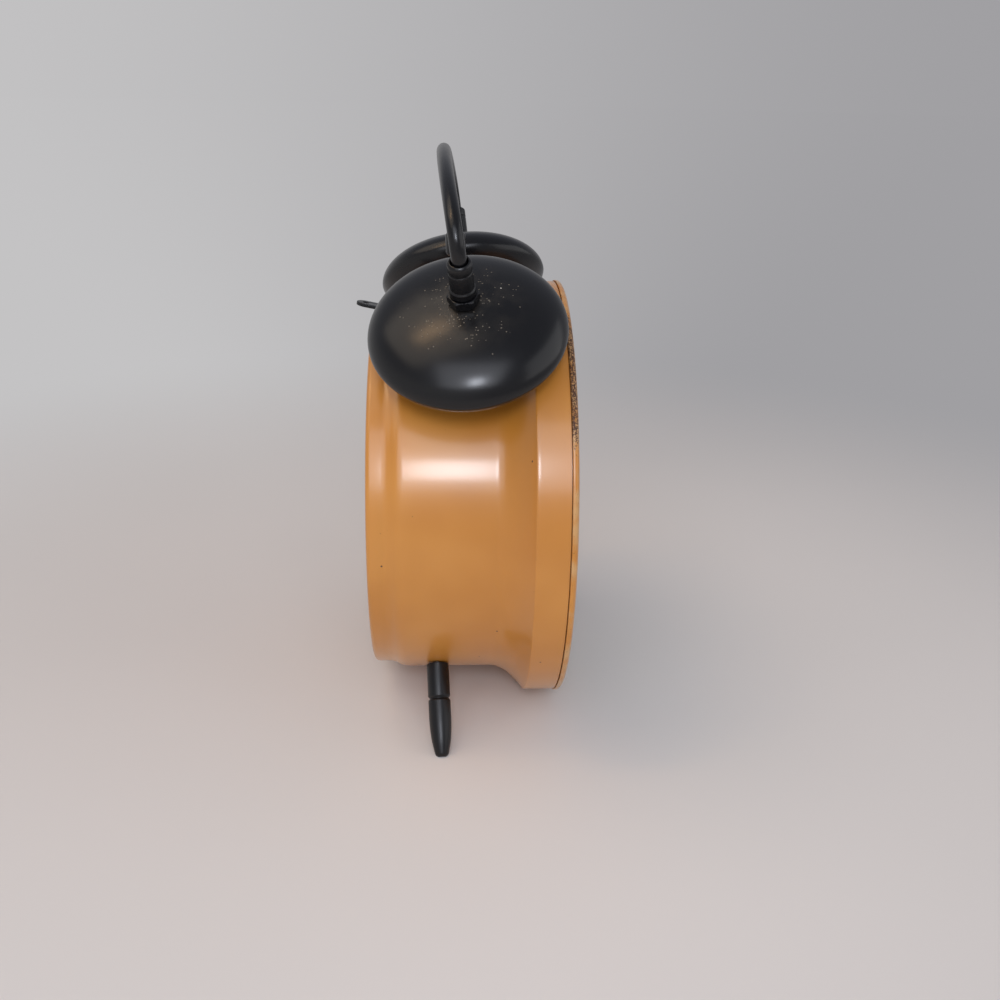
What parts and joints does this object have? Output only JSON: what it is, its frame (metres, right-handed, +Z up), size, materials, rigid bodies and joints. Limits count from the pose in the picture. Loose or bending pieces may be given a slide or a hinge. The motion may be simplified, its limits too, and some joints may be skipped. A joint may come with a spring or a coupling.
{
  "type": "wind-up alarm clock",
  "caption": "Wind-up alarm clock with a round enamelled case, bells on top under an arched handle, a hammer between them, splayed feet, and keys and knobs at the back.",
  "frame": {"origin": "on the floor below the middle of the clock's box", "axes": "+Z up; the dial faces -Y; +X to the right as seen from the front"},
  "size_m": [0.12, 0.0574, 0.1564],
  "materials": {
    "case_enamel": "glossy mustard enamel on sheet steel",
    "black_enamel": "satin black enamel",
    "gloss_black": "gloss black lacquer",
    "hand_black": "satin black paint",
    "dial_face": "matt cream paint with printed numerals",
    "clear_glass": "clear polished glass",
    "brass": "plain brass",
    "steel": "turned mild steel",
    "spring_steel": "blued spring steel"
  },
  "bodies": {
    "root": {"case_shell": "case_enamel", "bezel_ring": "case_enamel", "glass": "clear_glass", "dial_spacer": "brass", "dial": "dial_face", "back_plate": "case_enamel", "back_screw_1": "steel", "back_screw_2": "steel", "back_screw_3": "steel", "back_screw_4": "steel", "bell_left": "black_enamel", "bell_right": "black_enamel", "bell_post_left": "steel", "bell_post_right": "steel", "bell_nut_left": "gloss_black", "bell_nut_right": "gloss_black", "bell_lock_nut_left": "steel", "bell_lock_nut_right": "steel", "ferrule_left": "gloss_black", "ferrule_right": "gloss_black", "handle": "gloss_black", "foot_left": "black_enamel", "foot_right": "black_enamel", "foot_nut_left": "steel", "foot_nut_right": "steel", "stop_lever_rivet": "gloss_black", "front_plate": "brass", "rear_plate": "brass", "time_mainspring": "spring_steel", "alarm_mainspring": "spring_steel", "hairspring": "spring_steel"},
    "centre_shaft": {"centre_arbor": "steel", "centre_wheel": "brass", "minute_hand": "hand_black", "time_knob": "brass"},
    "hour_shaft": {"hour_wheel": "brass", "hour_hand": "hand_black"},
    "minute_gear": {"minute_wheel": "brass"},
    "third_gear": {"third_wheel": "brass"},
    "escape_gear": {"escape_wheel": "brass"},
    "time_great_gear": {"time_great_wheel": "brass", "time_click": "steel"},
    "time_winder": {"time_winding_arbor": "steel", "time_key": "brass"},
    "alarm_great_gear": {"alarm_great_wheel": "brass", "alarm_click": "steel"},
    "alarm_winder": {"alarm_winding_arbor": "steel", "alarm_key": "brass"},
    "alarm_escape_gear": {"alarm_escape_wheel": "brass"},
    "alarm_setter": {"alarm_set_arbor": "steel", "alarm_knob": "brass"},
    "alarm_indicator": {"alarm_wheel": "brass", "alarm_hand": "brass"},
    "hammer": {"hammer_arm": "steel", "hammer_head": "gloss_black"},
    "stop_lever_arm": {"stop_lever": "gloss_black"},
    "regulator": {"regulator_lever": "brass"},
    "pallets": {"pallet_lever": "steel"},
    "balance": {"balance_wheel": "brass"}
  },
  "joints": [
    {"name": "time_setting", "type": "hinge", "parent": "root", "child": "centre_shaft", "pos_m": [0, 0.00131, 0.06], "axis": [0, 1, 0], "continuous": true},
    {"name": "hour_turn", "type": "hinge", "parent": "root", "child": "hour_shaft", "pos_m": [0, -0.01869, 0.06], "axis": [0, 1, 0], "continuous": true},
    {"name": "minute_gear_turn", "type": "hinge", "parent": "root", "child": "minute_gear", "pos_m": [0, -0.01369, 0.072], "axis": [0, 1, 0], "continuous": true},
    {"name": "third_gear_turn", "type": "hinge", "parent": "root", "child": "third_gear", "pos_m": [-0.00999, 0.00131, 0.07351], "axis": [0, 1, 0], "continuous": true},
    {"name": "escape_gear_turn", "type": "hinge", "parent": "root", "child": "escape_gear", "pos_m": [-0.01449, 0.00131, 0.08463], "axis": [0, 1, 0], "continuous": true},
    {"name": "time_great_gear_turn", "type": "hinge", "parent": "root", "child": "time_great_gear", "pos_m": [-0.0185, -0.00969, 0.05], "axis": [0, 1, 0], "continuous": true},
    {"name": "time_winding", "type": "hinge", "parent": "root", "child": "time_winder", "pos_m": [-0.0185, 0.00131, 0.05], "axis": [0, -1, 0], "range_deg": [0, 1800]},
    {"name": "alarm_great_gear_turn", "type": "hinge", "parent": "root", "child": "alarm_great_gear", "pos_m": [0.0185, -0.00969, 0.05], "axis": [0, 1, 0], "continuous": true},
    {"name": "alarm_winding", "type": "hinge", "parent": "root", "child": "alarm_winder", "pos_m": [0.0185, 0.00131, 0.05], "axis": [0, -1, 0], "range_deg": [0, 1440]},
    {"name": "alarm_escape_turn", "type": "hinge", "parent": "root", "child": "alarm_escape_gear", "pos_m": [0.01537, 0.00131, 0.06773], "axis": [0, 1, 0], "continuous": true},
    {"name": "alarm_setting", "type": "hinge", "parent": "root", "child": "alarm_setter", "pos_m": [0, 0.00131, 0.044], "axis": [0, 1, 0], "continuous": true},
    {"name": "alarm_indicator_turn", "type": "hinge", "parent": "root", "child": "alarm_indicator", "pos_m": [0, -0.01669, 0.06], "axis": [0, 1, 0], "continuous": true},
    {"name": "hammer_swing", "type": "hinge", "parent": "root", "child": "hammer", "pos_m": [0.00911, 0.00131, 0.08002], "axis": [0, 1, 0], "range_deg": [-13, 14]},
    {"name": "stop_lever_swing", "type": "hinge", "parent": "root", "child": "stop_lever_arm", "pos_m": [0, 0.00931, 0.11055], "axis": [0, 0, 1], "range_deg": [-12, 12]},
    {"name": "regulator_swing", "type": "hinge", "parent": "root", "child": "regulator", "pos_m": [0.00189, 0.00731, 0.087], "axis": [0, 1, 0], "range_deg": [-25, 25]},
    {"name": "pallet_rock", "type": "hinge", "parent": "root", "child": "pallets", "pos_m": [-0.00658, 0.00131, 0.08849], "axis": [0, 1, 0], "range_deg": [-4, 4]},
    {"name": "balance_swing", "type": "hinge", "parent": "root", "child": "balance", "pos_m": [0.00189, 0.00131, 0.087], "axis": [0, 1, 0], "range_deg": [-220, 220]}
  ],
  "couplings": [
    {"joint": "hour_turn", "follows": "time_setting", "ratio": 0.083333},
    {"joint": "minute_gear_turn", "follows": "time_setting", "ratio": -0.33333},
    {"joint": "third_gear_turn", "follows": "time_setting", "ratio": -5},
    {"joint": "escape_gear_turn", "follows": "time_setting", "ratio": 20},
    {"joint": "time_great_gear_turn", "follows": "time_setting", "ratio": -0.22222},
    {"joint": "alarm_escape_turn", "follows": "alarm_great_gear_turn", "ratio": -5},
    {"joint": "alarm_indicator_turn", "follows": "alarm_setting", "ratio": -0.25}
  ]
}
